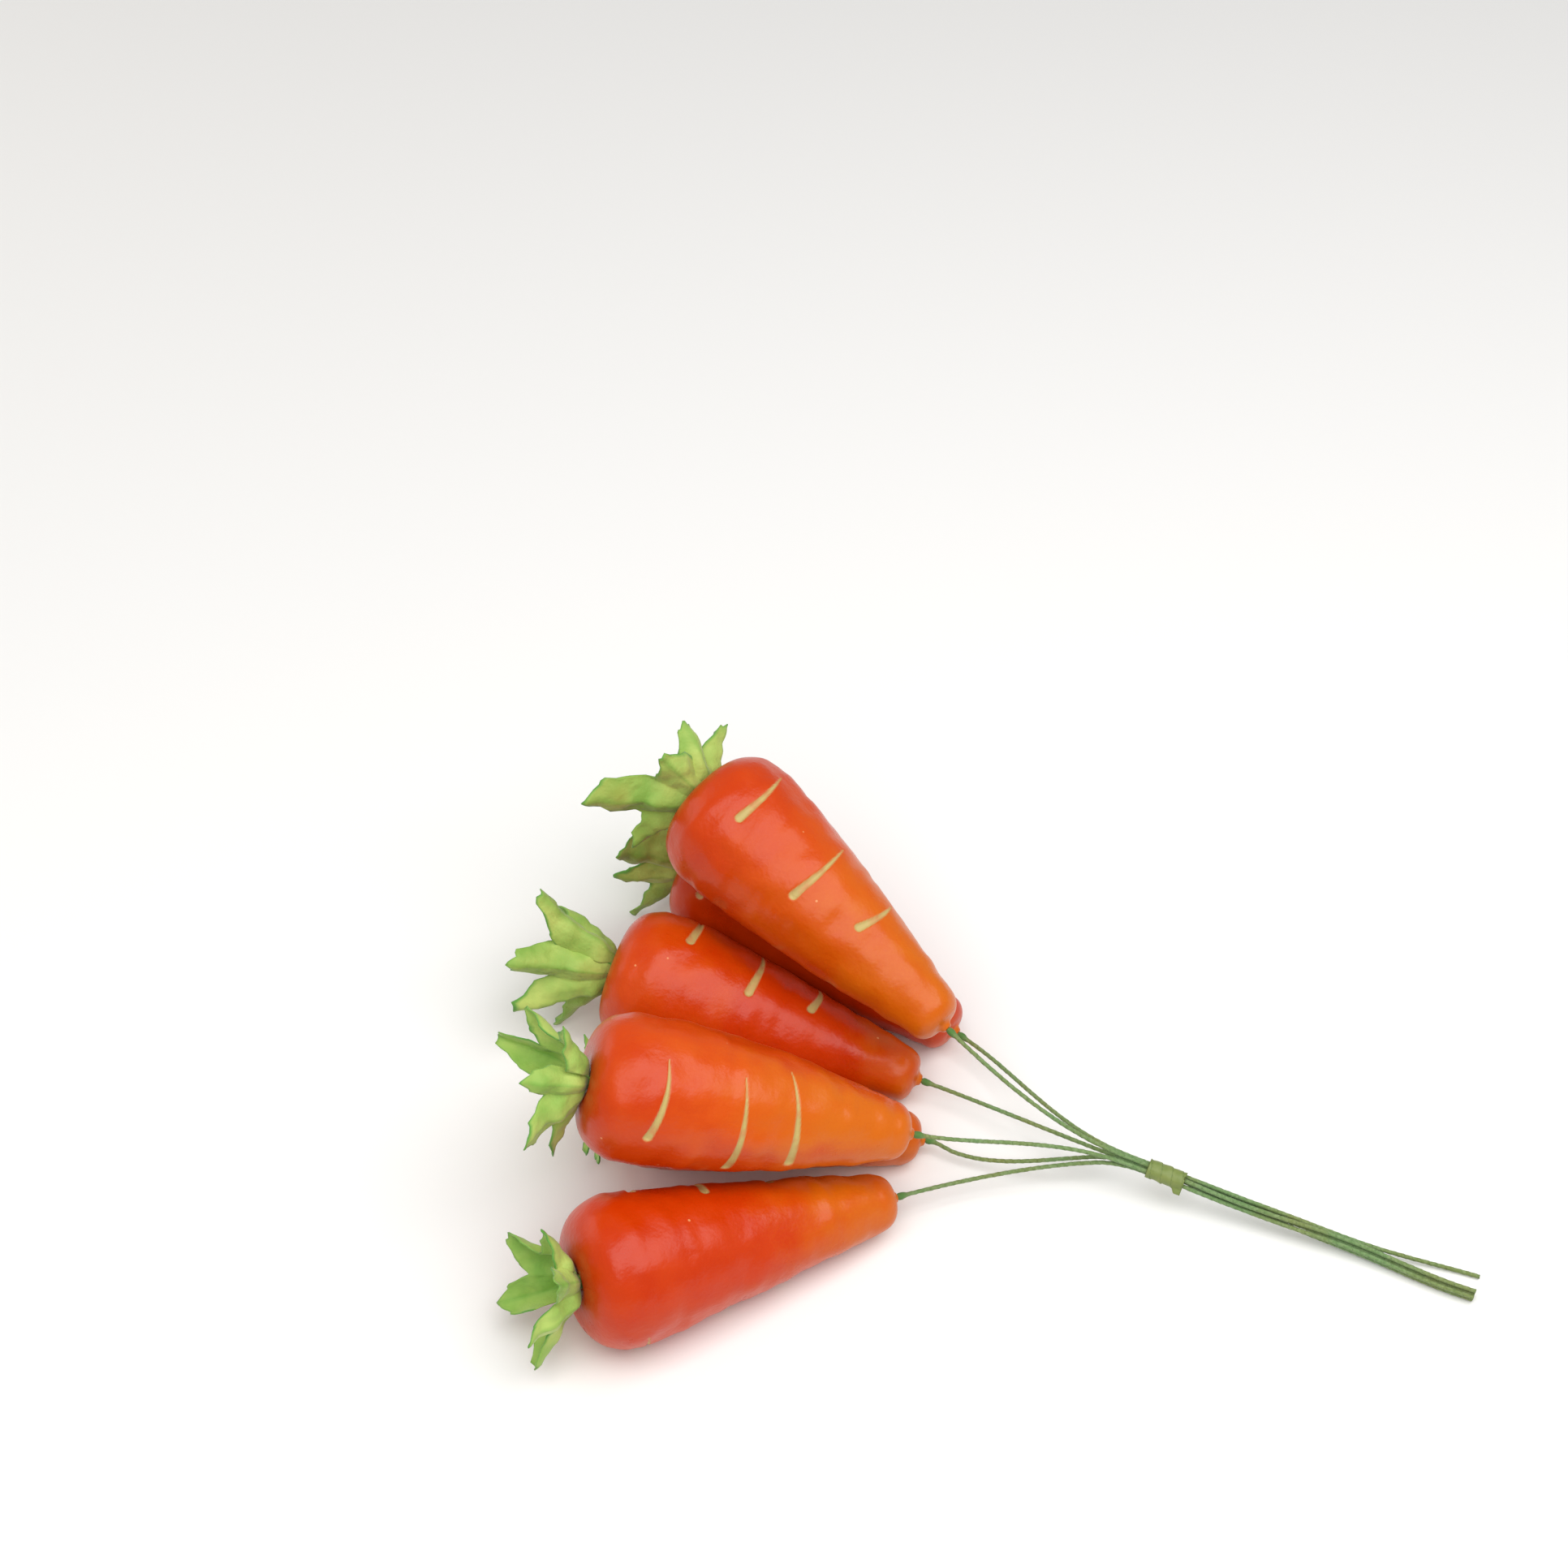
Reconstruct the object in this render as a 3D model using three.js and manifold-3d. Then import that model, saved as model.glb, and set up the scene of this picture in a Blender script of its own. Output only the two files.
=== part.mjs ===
// A wired bunch of six artificial carrots, lying on a table.
// Units are millimetres and +Z is up. The stems run along +X and the carrots fan out at the other end.

import * as THREE from 'three';
import { mergeVertices } from 'three/addons/utils/BufferGeometryUtils.js';
import Module from 'manifold-3d';

// ---- overall sizes ----
const LENGTH = 70;            // one carrot, crown to tip
const RADIUS = 15.5;          // widest radius of a carrot
const CLEARANCE = 0.3;        // left around anything that sits in a hole

// ---- carrot ----
const CARROT_SIDES = 20;
const SHOULDER = 0.15;        // length of the round shoulder, as a part of the carrot's length
const NOSE = 0.085;           // length of the round nose, as a part of the carrot's length
const NOSE_RADIUS = 0.38;     // radius where the nose starts, as a part of the widest radius
const CROWN_FACE = 0.34;      // radius of the flat crown face, as a part of the widest radius
const NUB_LENGTH = 1.3;       // small foam nub where the wire comes out
const NUB_WALL = 0.7;         // foam around the wire there
const ROUND_STEPS = 6;        // facets along the shoulder, and along the body
const REST_DEPTH = 0.35;      // how much the belly is flattened where a carrot lies on the table

// ---- wire stems ----
const WIRE_RADIUS = 0.45;
const WIRE_SIDES = 8;
const WIRE_STEPS = 26;
const TIP_LEAD = 2;           // straight length of wire beyond a carrot's tip
const FOOT_LEAD = 9;          // length over which a wire bends away from the bundle, and straightens again
const BORE_RADIUS = WIRE_RADIUS + CLEARANCE;
const BORE_DEPTH = 14;
const WIRE_PITCH = 2 * WIRE_RADIUS + 0.25;   // centre to centre in the bound bundle

// ---- binding tape ----
const TAPE_LENGTH = 8;
const TAPE_THICKNESS = 0.35;
const TAPE_INNER = WIRE_PITCH + WIRE_RADIUS + 0.2;
const TAPE_START = 4.5;       // from where the wires meet to the tape
const FOLD = { length: 1.8, width: 0.5, height: 1.5, turn: 205 };   // the loose end of the tape

// ---- leaves ----
const LEAF_THICKNESS = 0.4;
const STALK_RING = 1.3;       // distance of the pinched leaf foot from the middle of the crown socket
const STALK_ARC = 150;        // how much of the socket's round one pinched foot takes, in degrees
const SOCKET_DEPTH = 6;
const SOCKET_RADIUS = STALK_RING + LEAF_THICKNESS / 2 + CLEARANCE;
const LEAF_ROWS = [0.05, 0.14, 0.3, 0.5, 0.75, 1];
const NOTCH = 0.7;            // how far out the notch between two lobes lies, as a part of their length
const LOBE_SHOULDER = 0.84;   // and how far out the lobe's two shoulders lie
const LOBE_TURN = 13;         // angle around the carrot's axis from a lobe's point to its shoulders
const EDGE_TURN = 24;         // and to the edge of the leaf
const PLEAT = 7;              // the notches fold in and the lobes fold out by this angle
const FLARE = 28;             // extra lean just beyond the crown, lost over the next few millimetres
const FLARE_LENGTH = 8;

// The pile is laid out for a carrot of 70 by 31 mm and grows with it.
const ALONG = LENGTH / 70;
const ACROSS = RADIUS / 15.5;
const at = (x, y, z) => new THREE.Vector3(x * ALONG, y * ACROSS, z * ACROSS);

// Each carrot: the middle of its crown, the end of its tip, its girth and how full its body is.
// Four lie on the table side by side and two lie on top of them.
const CARROTS = [
  { name: 'back_upper', crown: at(-0.6, -49.3, 47.8), tip: at(63.9, -76.5, 28.4), girth: 1.01, full: 1.35 },
  { name: 'back_lower', crown: at(-5.3, -41.8, 17.6), tip: at(61.4, -59.7, 6.2), girth: 1.0, full: 1.2 },
  { name: 'middle', crown: at(-10.9, -76.5, 17.9), tip: at(58.0, -74.1, 6.0), girth: 1.0, full: 1.25 },
  { name: 'front_upper', crown: at(3.6, -125.8, 45.1), tip: at(64.9, -101.6, 24.6), girth: 0.97, full: 1.9 },
  { name: 'front_lower', crown: at(2.2, -108.2, 18.3), tip: at(63.3, -87.7, 4.5), girth: 0.92, full: 1.2 },
  { name: 'outer', crown: at(11.7, -154.0, 17.2), tip: at(63.1, -105.6, 7.3), girth: 1.01, full: 1.15 },
];
const ON_TABLE = ['back_lower', 'middle', 'front_lower', 'outer'];
const LIES_ON = { back_upper: ['back_lower', 'middle'], front_upper: ['front_lower', 'middle', 'outer'] };
const FALL = { from: 8, to: -16, halvings: 14 };   // heights tried for an upper carrot, around its own

// The bound bundle of wires, and where each carrot's wire lies in it: one in the middle, five around it.
const BUNDLE_START = at(105.5, -81.5, 8.3);
const BUNDLE_END = at(153.0, -82.1, 2.6);
const BUNDLE_FOOT = at(180.5, -84.6, 1.45);   // where the five wires that stay together end
const LOOSE_FOOT = at(180.5, -79.3, 0.5);     // where the sixth ends, on its own
const SEAT_ANGLE = { back_upper: 90, front_upper: 162, outer: 234, middle: 306, back_lower: 18 };
const LOOSE_WIRE = 'back_lower';
// How far a wire holds its carrot's line as it leaves, and the bundle's line as it arrives, as parts of the
// distance between them, and how far it swings aside in between.
const WIRE_BOW = { leave: 0.28, arrive: 0.33, aside: 0 };
const OWN_BOW = {
  front_lower: { leave: 0.35, arrive: 0.2, aside: -8 * ACROSS },
  outer: { leave: 0.42, arrive: 0.12, aside: 0 },
};

// Each tuft is two pinched leaves of three lobes. A lobe has its turn around the carrot's axis from the
// top, the angle by which it opens away from that axis, and its length.
const LEAVES = {
  back_upper: [[[-132, 44, 22], [-84, 34, 26], [-34, 76, 17]], [[18, 34, 15], [68, 46, 14], [130, 24, 17]]],
  back_lower: [[[-146, 54, 19], [-100, 38, 18], [-56, 44, 23]], [[0, 36, 15], [62, 30, 15], [130, 32, 16]]],
  middle: [[[-158, 62, 18], [-112, 34, 22], [-62, 20, 26]], [[-4, 20, 25], [58, 14, 16], [126, 26, 18]]],
  front_upper: [[[-152, 68, 16], [-104, 30, 19], [-54, 20, 18]], [[4, 32, 15], [58, 20, 18], [114, 18, 21]]],
  front_lower: [[[-150, 56, 13], [-106, 70, 14], [-66, 46, 13]], [[0, 26, 13], [60, 28, 13], [122, 34, 14]]],
  outer: [[[-146, 24, 15], [-90, 20, 15], [-36, 32, 13]], [[20, 42, 13], [78, 44, 15], [146, 22, 18]]],
};

const FOAM = new THREE.MeshStandardMaterial({ color: 0xe05a10, roughness: 0.35, metalness: 0 });
const PAPER = new THREE.MeshStandardMaterial({ color: 0x6f9a55, roughness: 0.8, metalness: 0 });
const TAPE = new THREE.MeshStandardMaterial({ color: 0x8a9a45, roughness: 0.7, metalness: 0 });
const FABRIC = new THREE.MeshStandardMaterial({ color: 0x8fb14a, roughness: 0.8, metalness: 0 });

const group = new THREE.Group();

function add(name, geometry, material) {
  const mesh = new THREE.Mesh(geometry, material);
  mesh.name = name;
  group.add(mesh);
  return mesh;
}

const wasm = await Module();
wasm.setup();

function toSolid(geometry) {
  const bare = geometry.clone();
  bare.deleteAttribute('normal');
  bare.deleteAttribute('uv');
  const whole = mergeVertices(bare, 1e-4);
  return new wasm.Manifold(new wasm.Mesh({
    numProp: 3,
    vertProperties: new Float32Array(whole.attributes.position.array),
    triVerts: new Uint32Array(whole.index.array),
  }));
}

function toGeometry(solid) {
  const mesh = solid.getMesh();
  const geometry = new THREE.BufferGeometry();
  geometry.setAttribute('position', new THREE.BufferAttribute(mesh.vertProperties, 3));
  geometry.setIndex(new THREE.BufferAttribute(mesh.triVerts, 1));
  geometry.computeVertexNormals();
  return geometry;
}

// Everything above the table top.
const ABOVE = toSolid(new THREE.BoxGeometry(800, 800, 400).translate(0, 0, 200));

// ---- carrots ----

// Half section of a carrot, from the bottom of the crown socket round the skin to the end of the tip bore.
function carrotSection(length, radius, full) {
  const points = [
    new THREE.Vector2(0, SOCKET_DEPTH),
    new THREE.Vector2(SOCKET_RADIUS, SOCKET_DEPTH),
    new THREE.Vector2(SOCKET_RADIUS, 0.5),
  ];
  for (let i = 0; i <= ROUND_STEPS; i++) {
    const turn = (i / ROUND_STEPS) * Math.PI / 2;
    const r = radius * (CROWN_FACE + (1 - CROWN_FACE) * Math.sin(turn));
    points.push(new THREE.Vector2(r, SHOULDER * length * (1 - Math.cos(turn))));
  }
  const noseStart = 1 - NOSE;
  for (let i = 1; i <= ROUND_STEPS; i++) {
    const u = i / ROUND_STEPS;
    const r = radius * (1 - (1 - NOSE_RADIUS) * u ** full);
    points.push(new THREE.Vector2(r, length * (SHOULDER + u * (noseStart - SHOULDER))));
  }
  const nubRadius = BORE_RADIUS + NUB_WALL;
  const noseEnd = length - NUB_LENGTH;
  for (let i = 1; i <= 3; i++) {
    const turn = (i / 3) * Math.PI / 2;
    const r = nubRadius + (radius * NOSE_RADIUS - nubRadius) * Math.cos(turn);
    points.push(new THREE.Vector2(r, length * noseStart + (noseEnd - length * noseStart) * Math.sin(turn)));
  }
  points.push(new THREE.Vector2(nubRadius, length - 0.3));
  points.push(new THREE.Vector2(BORE_RADIUS, length));
  points.push(new THREE.Vector2(BORE_RADIUS, length - BORE_DEPTH));
  points.push(new THREE.Vector2(0, length - BORE_DEPTH));
  return points;
}

// How far to move a solid up or down so that it only just clears those under it.
function settle(solid, under) {
  let clear = FALL.from;
  let blocked = FALL.to;
  for (let i = 0; i < FALL.halvings; i++) {
    const shift = (clear + blocked) / 2;
    const moved = solid.translate([0, 0, shift]);
    if (under.some((other) => !moved.intersect(other).isEmpty())) {
      blocked = shift;
    } else {
      clear = shift;
    }
  }
  return clear + CLEARANCE;
}

const lyingFirst = [...CARROTS].sort((a, b) => ON_TABLE.includes(b.name) - ON_TABLE.includes(a.name));
const carrotSolids = {};
for (const carrot of lyingFirst) {
  carrot.axis = carrot.tip.clone().sub(carrot.crown).normalize();
  carrot.length = carrot.tip.distanceTo(carrot.crown);
  const section = carrotSection(carrot.length, RADIUS * carrot.girth, carrot.full);
  const body = new THREE.LatheGeometry(section, CARROT_SIDES);
  body.applyQuaternion(new THREE.Quaternion().setFromUnitVectors(new THREE.Vector3(0, 1, 0), carrot.axis));
  body.translate(carrot.crown.x, carrot.crown.y, carrot.crown.z);
  const solid = toSolid(body);
  let shift = 0;
  if (ON_TABLE.includes(carrot.name)) {
    // Let it down until its belly is pressed flat against the table.
    shift = -REST_DEPTH - solid.boundingBox().min[2];
  } else {
    shift = settle(solid, LIES_ON[carrot.name].map((name) => carrotSolids[name]));
  }
  carrot.crown.z += shift;
  carrot.tip.z += shift;
  carrotSolids[carrot.name] = solid.translate([0, 0, shift]).intersect(ABOVE);
  add('carrot_' + carrot.name, toGeometry(carrotSolids[carrot.name]), FOAM);
}

// ---- wire stems ----

const bundleAxis = BUNDLE_END.clone().sub(BUNDLE_START).normalize();
const bundleSide = new THREE.Vector3(0, 0, 1).cross(bundleAxis).normalize();
const bundleUp = bundleAxis.clone().cross(bundleSide).normalize();

// Where a carrot's wire lies in the bundle, as a shift from the bundle's middle.
function seat(name) {
  if (!(name in SEAT_ANGLE)) return new THREE.Vector3();
  const angle = THREE.MathUtils.degToRad(SEAT_ANGLE[name]);
  const shift = bundleSide.clone().multiplyScalar(Math.cos(angle) * WIRE_PITCH);
  return shift.addScaledVector(bundleUp, Math.sin(angle) * WIRE_PITCH);
}

const wireShape = new THREE.Shape();
wireShape.absarc(0, 0, WIRE_RADIUS, 0, Math.PI * 2);

for (const carrot of CARROTS) {
  const shift = seat(carrot.name);
  const foot = carrot.name === LOOSE_WIRE ? LOOSE_FOOT.clone() : BUNDLE_FOOT.clone().add(shift);
  const inBore = carrot.tip.clone().addScaledVector(carrot.axis, CLEARANCE - BORE_DEPTH);
  const span = BUNDLE_START.distanceTo(carrot.tip);
  const shape = OWN_BOW[carrot.name] ?? WIRE_BOW;
  const arrive = BUNDLE_START.clone().add(shift);
  const leave = BUNDLE_END.clone().add(shift);
  const lead = carrot.tip.clone().addScaledVector(carrot.axis, TIP_LEAD);
  const ahead = lead.clone().addScaledVector(carrot.axis, span * shape.leave);
  ahead.y += shape.aside;
  const behind = arrive.clone().addScaledVector(bundleAxis, -span * shape.arrive);
  const bow = new THREE.CubicBezierCurve3(lead, ahead, behind, arrive);
  const toFoot = new THREE.CubicBezierCurve3(
    leave,
    leave.clone().addScaledVector(bundleAxis, FOOT_LEAD),
    foot.clone().add(new THREE.Vector3(-FOOT_LEAD, 0, 0)),
    foot,
  );
  // Out of the bore, over to the bundle, straight along it, and on to the foot.
  const points = [inBore, inBore.clone().lerp(carrot.tip, 0.5), carrot.tip];
  points.push(...bow.getPoints(8), arrive.clone().lerp(leave, 0.33), arrive.clone().lerp(leave, 0.67));
  points.push(...toFoot.getPoints(4));
  const wire = new THREE.ExtrudeGeometry(wireShape, {
    steps: WIRE_STEPS,
    curveSegments: WIRE_SIDES / 2,
    extrudePath: new THREE.CatmullRomCurve3(points, false, 'centripetal'),
    bevelEnabled: false,
  });
  add('wire_' + carrot.name, toGeometry(toSolid(wire)), PAPER);
}

// ---- binding tape ----

const ringShape = new THREE.Shape();
ringShape.absarc(0, 0, TAPE_INNER + TAPE_THICKNESS, 0, Math.PI * 2);
const ringHole = new THREE.Path();
ringHole.absarc(0, 0, TAPE_INNER, 0, Math.PI * 2, true);
ringShape.holes.push(ringHole);
const ring = new THREE.ExtrudeGeometry(ringShape, {
  depth: TAPE_LENGTH,
  curveSegments: 16,
  bevelEnabled: false,
});
// The loose end of the tape stands off the ring as a small fold.
const fold = new THREE.BoxGeometry(FOLD.height, FOLD.width, FOLD.length);
fold.translate(TAPE_INNER + TAPE_THICKNESS / 2 + FOLD.height / 2, 0, TAPE_LENGTH - FOLD.length / 2);
fold.rotateZ(THREE.MathUtils.degToRad(FOLD.turn));
const tape = toSolid(ring).add(toSolid(fold));
const tapeGeometry = toGeometry(tape);
tapeGeometry.applyMatrix4(new THREE.Matrix4().makeBasis(bundleSide, bundleUp, bundleAxis));
const tapeStart = BUNDLE_START.clone().addScaledVector(bundleAxis, TAPE_START);
tapeGeometry.translate(tapeStart.x, tapeStart.y, tapeStart.z);
add('tape', tapeGeometry, TAPE);

// ---- leaves ----

// A closed sheet through rings of points. Each ring runs across the face and back underneath.
function sheet(rings) {
  const count = rings[0].length;
  const faces = [];
  for (let i = 0; i + 1 < rings.length; i++) {
    for (let j = 0; j < count; j++) {
      const a = i * count + j;
      const b = i * count + (j + 1) % count;
      faces.push(a, b, b + count, a, b + count, a + count);
    }
  }
  const end = (rings.length - 1) * count;
  for (let j = 0; j + 1 < count / 2; j++) {
    const k = count - 1 - j;
    faces.push(j, k, k - 1, j, k - 1, j + 1);
    faces.push(end + j, end + k - 1, end + k, end + j, end + j + 1, end + k - 1);
  }
  const geometry = new THREE.BufferGeometry();
  geometry.setAttribute('position', new THREE.Float32BufferAttribute(rings.flat().flatMap((p) => [...p]), 3));
  geometry.setIndex(faces);
  return geometry;
}

// The lines that run up a leaf: its two edges, and the point, shoulders and notches of its lobes.
function leafLines(lobes) {
  const lines = [];
  const [first, last] = [lobes[0], lobes[lobes.length - 1]];
  lines.push({ turn: first[0] - EDGE_TURN, open: first[1], length: first[2] * NOTCH });
  lobes.forEach(([turn, open, length], i) => {
    if (i > 0) {
      const [turnBefore, openBefore, lengthBefore] = lobes[i - 1];
      lines.push({
        turn: (turn + turnBefore) / 2,
        open: (open + openBefore) / 2 - PLEAT,
        length: (length + lengthBefore) / 2 * NOTCH,
      });
    }
    lines.push({ turn: turn - LOBE_TURN, open: open + PLEAT / 2, length: length * LOBE_SHOULDER });
    lines.push({ turn, open: open + PLEAT, length });
    lines.push({ turn: turn + LOBE_TURN, open: open + PLEAT / 2, length: length * LOBE_SHOULDER });
  });
  lines.push({ turn: last[0] + EDGE_TURN, open: last[1], length: last[2] * NOTCH });
  return lines;
}

for (const carrot of CARROTS) {
  const back = carrot.axis.clone().negate();
  const top = new THREE.Vector3(0, 0, 1).addScaledVector(back, -back.z).normalize();
  const side = back.clone().cross(top);
  LEAVES[carrot.name].forEach((lobes, index) => {
    const lines = leafLines(lobes);
    const middleTurn = (lines[0].turn + lines[lines.length - 1].turn) / 2;
    // One point of the leaf and the point under it, at a distance along one of its lines.
    const pair = (line, i, distance) => {
      const pinched = middleTurn + (i / (lines.length - 1) - 0.5) * STALK_ARC;
      const spread = THREE.MathUtils.clamp(distance / 4, 0, 1);
      const turn = THREE.MathUtils.degToRad(THREE.MathUtils.lerp(pinched, line.turn, spread));
      const out = top.clone().multiplyScalar(Math.cos(turn)).addScaledVector(side, Math.sin(turn));
      const point = carrot.crown.clone().addScaledVector(out, STALK_RING - LEAF_THICKNESS / 2);
      // Straight out of the socket, flaring over the crown, then settling to the angle of its lobe.
      let tilt = 0;
      if (distance <= 0) {
        point.addScaledVector(back, distance);
      } else {
        const pieces = 12;
        for (let k = 0; k < pieces; k++) {
          const along = (k + 0.5) / pieces * distance;
          const lean = line.open + FLARE * Math.max(0, 1 - along / FLARE_LENGTH);
          tilt = THREE.MathUtils.degToRad(Math.min(lean, Math.max(line.open, 78)) * Math.min(1, along / 1.2));
          point.addScaledVector(back, Math.cos(tilt) * distance / pieces);
          point.addScaledVector(out, Math.sin(tilt) * distance / pieces);
        }
      }
      const outward = out.clone().multiplyScalar(Math.cos(tilt)).addScaledVector(back, -Math.sin(tilt));
      return [point, point.clone().addScaledVector(outward, LEAF_THICKNESS)];
    };
    const ring = (place) => {
      const pairs = lines.map((line, i) => pair(line, i, place <= 0 ? place : place * line.length));
      return [...pairs.map((p) => p[1]), ...pairs.map((p) => p[0]).reverse()];
    };
    const rings = [ring(CLEARANCE - SOCKET_DEPTH), ring(0), ...LEAF_ROWS.map(ring)];
    add(`leaf_${carrot.name}_${index + 1}`, toGeometry(toSolid(sheet(rings))), FABRIC);
  });
}

// ---- put the middle of the bunch over the origin, with the table top at zero ----
group.updateMatrixWorld(true);
const box = new THREE.Box3().setFromObject(group);
const middle = box.getCenter(new THREE.Vector3());
for (const mesh of group.children) mesh.geometry.translate(-middle.x, -middle.y, 0);

export default group;
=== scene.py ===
# %% [markdown]
# # A wired bunch of artificial carrots
#
# Six small carrots of painted foam lie in a pile. Each has a tuft of cloth leaves glued into its crown and a
# paper-wrapped wire glued into its tip, and the wires are bound with tape into one stem. The solids of all of
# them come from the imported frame. They give the places and the sizes, and each one is replaced here by a
# piece that has the real surface: moulded skin, carved grooves, crumpled cloth and wound paper.

# %% Load the frame
import math

import bmesh
import bpy
import numpy as np
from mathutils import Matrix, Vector, noise


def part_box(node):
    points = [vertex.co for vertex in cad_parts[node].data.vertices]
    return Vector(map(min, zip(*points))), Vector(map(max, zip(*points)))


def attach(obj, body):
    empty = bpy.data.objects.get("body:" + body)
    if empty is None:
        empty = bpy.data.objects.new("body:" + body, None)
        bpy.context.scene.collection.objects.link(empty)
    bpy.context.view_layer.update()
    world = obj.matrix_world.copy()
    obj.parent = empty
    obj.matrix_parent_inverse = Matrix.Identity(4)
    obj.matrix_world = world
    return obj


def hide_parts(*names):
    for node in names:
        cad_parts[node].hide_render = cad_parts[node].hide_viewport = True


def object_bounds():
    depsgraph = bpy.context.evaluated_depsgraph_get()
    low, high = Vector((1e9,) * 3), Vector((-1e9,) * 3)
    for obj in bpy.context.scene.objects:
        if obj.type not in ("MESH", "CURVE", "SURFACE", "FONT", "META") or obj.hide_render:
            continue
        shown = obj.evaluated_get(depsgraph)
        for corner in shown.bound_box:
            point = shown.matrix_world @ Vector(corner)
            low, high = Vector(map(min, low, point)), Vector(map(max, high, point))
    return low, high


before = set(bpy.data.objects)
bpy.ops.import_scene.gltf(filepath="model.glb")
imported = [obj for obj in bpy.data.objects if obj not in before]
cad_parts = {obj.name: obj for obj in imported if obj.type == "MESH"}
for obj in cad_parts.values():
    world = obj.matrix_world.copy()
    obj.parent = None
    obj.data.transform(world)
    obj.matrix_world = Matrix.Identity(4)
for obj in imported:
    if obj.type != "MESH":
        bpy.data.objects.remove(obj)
CAD_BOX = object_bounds()
MM = 0.001
NAMES = [name[len("carrot_"):] for name in sorted(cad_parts) if name.startswith("carrot_")]
print("carrots:", NAMES)

# %% [markdown]
# ## Where each carrot lies
#
# A carrot is a body of revolution, so a middle line and a length say where it is. They can be read from the
# solid in the frame: the leaf socket and the wire bore are two holes on that line. The longest direction of
# the points finds it roughly, and the middles of the two holes then give it exactly. Reading it here, instead
# of typing it in again, keeps the looks on the frame if the frame ever changes.

# %% Read the middle lines
HOLE_REACH = (3.5, 2.6)   # mm from the rough line, then from the better one, that take in only the holes


def off_line(points, start, along):
    """How far each point is from the line through start."""
    arms = points - start
    return np.linalg.norm(arms - np.outer(arms @ along, along), axis=1)


def lie_of(name):
    """Crown, direction, length and radius of a carrot in mm, with two directions square to its line."""
    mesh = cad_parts["carrot_" + name].data
    points = np.unique(np.round([v.co / MM for v in mesh.vertices], 2), axis=0)
    start = points.mean(axis=0)
    along = np.linalg.svd(points - start, full_matrices=False)[2][0]
    along *= np.sign(along[0])
    for reach in HOLE_REACH:
        near = points[off_line(points, start, along) < reach]
        ahead = (near - start) @ along > 0
        head, tail = near[~ahead].mean(axis=0), near[ahead].mean(axis=0)
        start, along = head, (tail - head) / np.linalg.norm(tail - head)
    spans = (points - start) @ along
    crown, along = Vector(start + along * spans.min()), Vector(along)
    top = (Vector((0, 0, 1)) - along * along.z).normalized()
    return {
        "crown": crown, "along": along, "top": top, "side": top.cross(along),
        "length": float(np.ptp(spans)), "radius": float(off_line(points, start, np.array(along)).max()),
    }


LIES = {name: lie_of(name) for name in NAMES}
for name, lie in LIES.items():
    print(f"{name}: {lie['length']:.1f} mm long, {2 * lie['radius']:.1f} mm wide, crown {lie['crown'][:]}")

# %% [markdown]
# ## Tools for making pieces and finishes
#
# A piece is drawn in millimetres in a bmesh, which is Blender's mesh in the making, and turned into an object
# in metres at the end. Its object stays at the origin and its place is in its mesh, as in the frame. Colours
# are picked on screen as sRGB hex values, but a shader works in linear light, so one function converts them.

# %% Pieces
def finish_piece(bm, name, material, node):
    """Turns a bmesh in mm into a smooth object that stands for one CAD node."""
    for vert in bm.verts:
        vert.co *= MM
    mesh = bpy.data.meshes.new(name)
    bm.to_mesh(mesh)
    bm.free()
    mesh.shade_smooth()
    mesh.materials.append(material)
    piece = bpy.data.objects.new(name, mesh)
    bpy.context.scene.collection.objects.link(piece)
    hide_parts(node)
    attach(piece, "root")
    return piece


def smooth_step(low, high, value):
    """0 below low, 1 above high, and a smooth rise between them."""
    part = min(1, max(0, (value - low) / (high - low)))
    return part * part * (3 - 2 * part)


def mix(low, high, part):
    return low + (high - low) * part


# %% Finishes
def linear(hex_colour):
    """An sRGB hex colour as linear RGBA."""
    parts = [int(hex_colour[i:i + 2], 16) / 255 for i in (1, 3, 5)]
    return tuple(c / 12.92 if c <= 0.04045 else ((c + 0.055) / 1.055) ** 2.4 for c in parts) + (1,)


def add_node(tree, kind, inputs=None, **settings):
    """Adds a shader node with its settings, and fills or links its inputs."""
    made = tree.nodes.new(kind)
    for key, value in settings.items():
        setattr(made, key, value)
    for key, value in (inputs or {}).items():
        if isinstance(value, bpy.types.NodeSocket):
            tree.links.new(value, made.inputs[key])
        else:
            made.inputs[key].default_value = value
    return made


def new_material(name, **inputs):
    """A material with a Principled shader, whose plain values are set on its own sockets."""
    material = bpy.data.materials.new(name)
    material.use_nodes = True
    tree = material.node_tree
    tree.nodes.clear()
    shader = add_node(tree, "ShaderNodeBsdfPrincipled", inputs)
    output = add_node(tree, "ShaderNodeOutputMaterial")
    tree.links.new(shader.outputs["BSDF"], output.inputs["Surface"])
    return material, tree, shader


def blend_colours(tree, factor, first, second):
    """The output of a node that goes from the first colour to the second."""
    made = add_node(tree, "ShaderNodeMix", data_type="RGBA")
    for socket, value in zip((0, 6, 7), (factor, first, second)):
        if isinstance(value, bpy.types.NodeSocket):
            tree.links.new(value, made.inputs[socket])
        else:
            made.inputs[socket].default_value = value
    return made.outputs[2]


# %% [markdown]
# ## The skin of a moulded carrot
#
# The real one is cast in soft foam, so its form is a turned one with swells and dents, and a flat place where
# it lies on the table. A subdivided cylinder could be pushed into this shape, but a half section that is spun
# round the middle line gives the same control as a lathe. The section runs from the leaf socket over the
# round shoulder, down the taper and round the nose to the nub, and into the hole for the wire.

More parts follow.
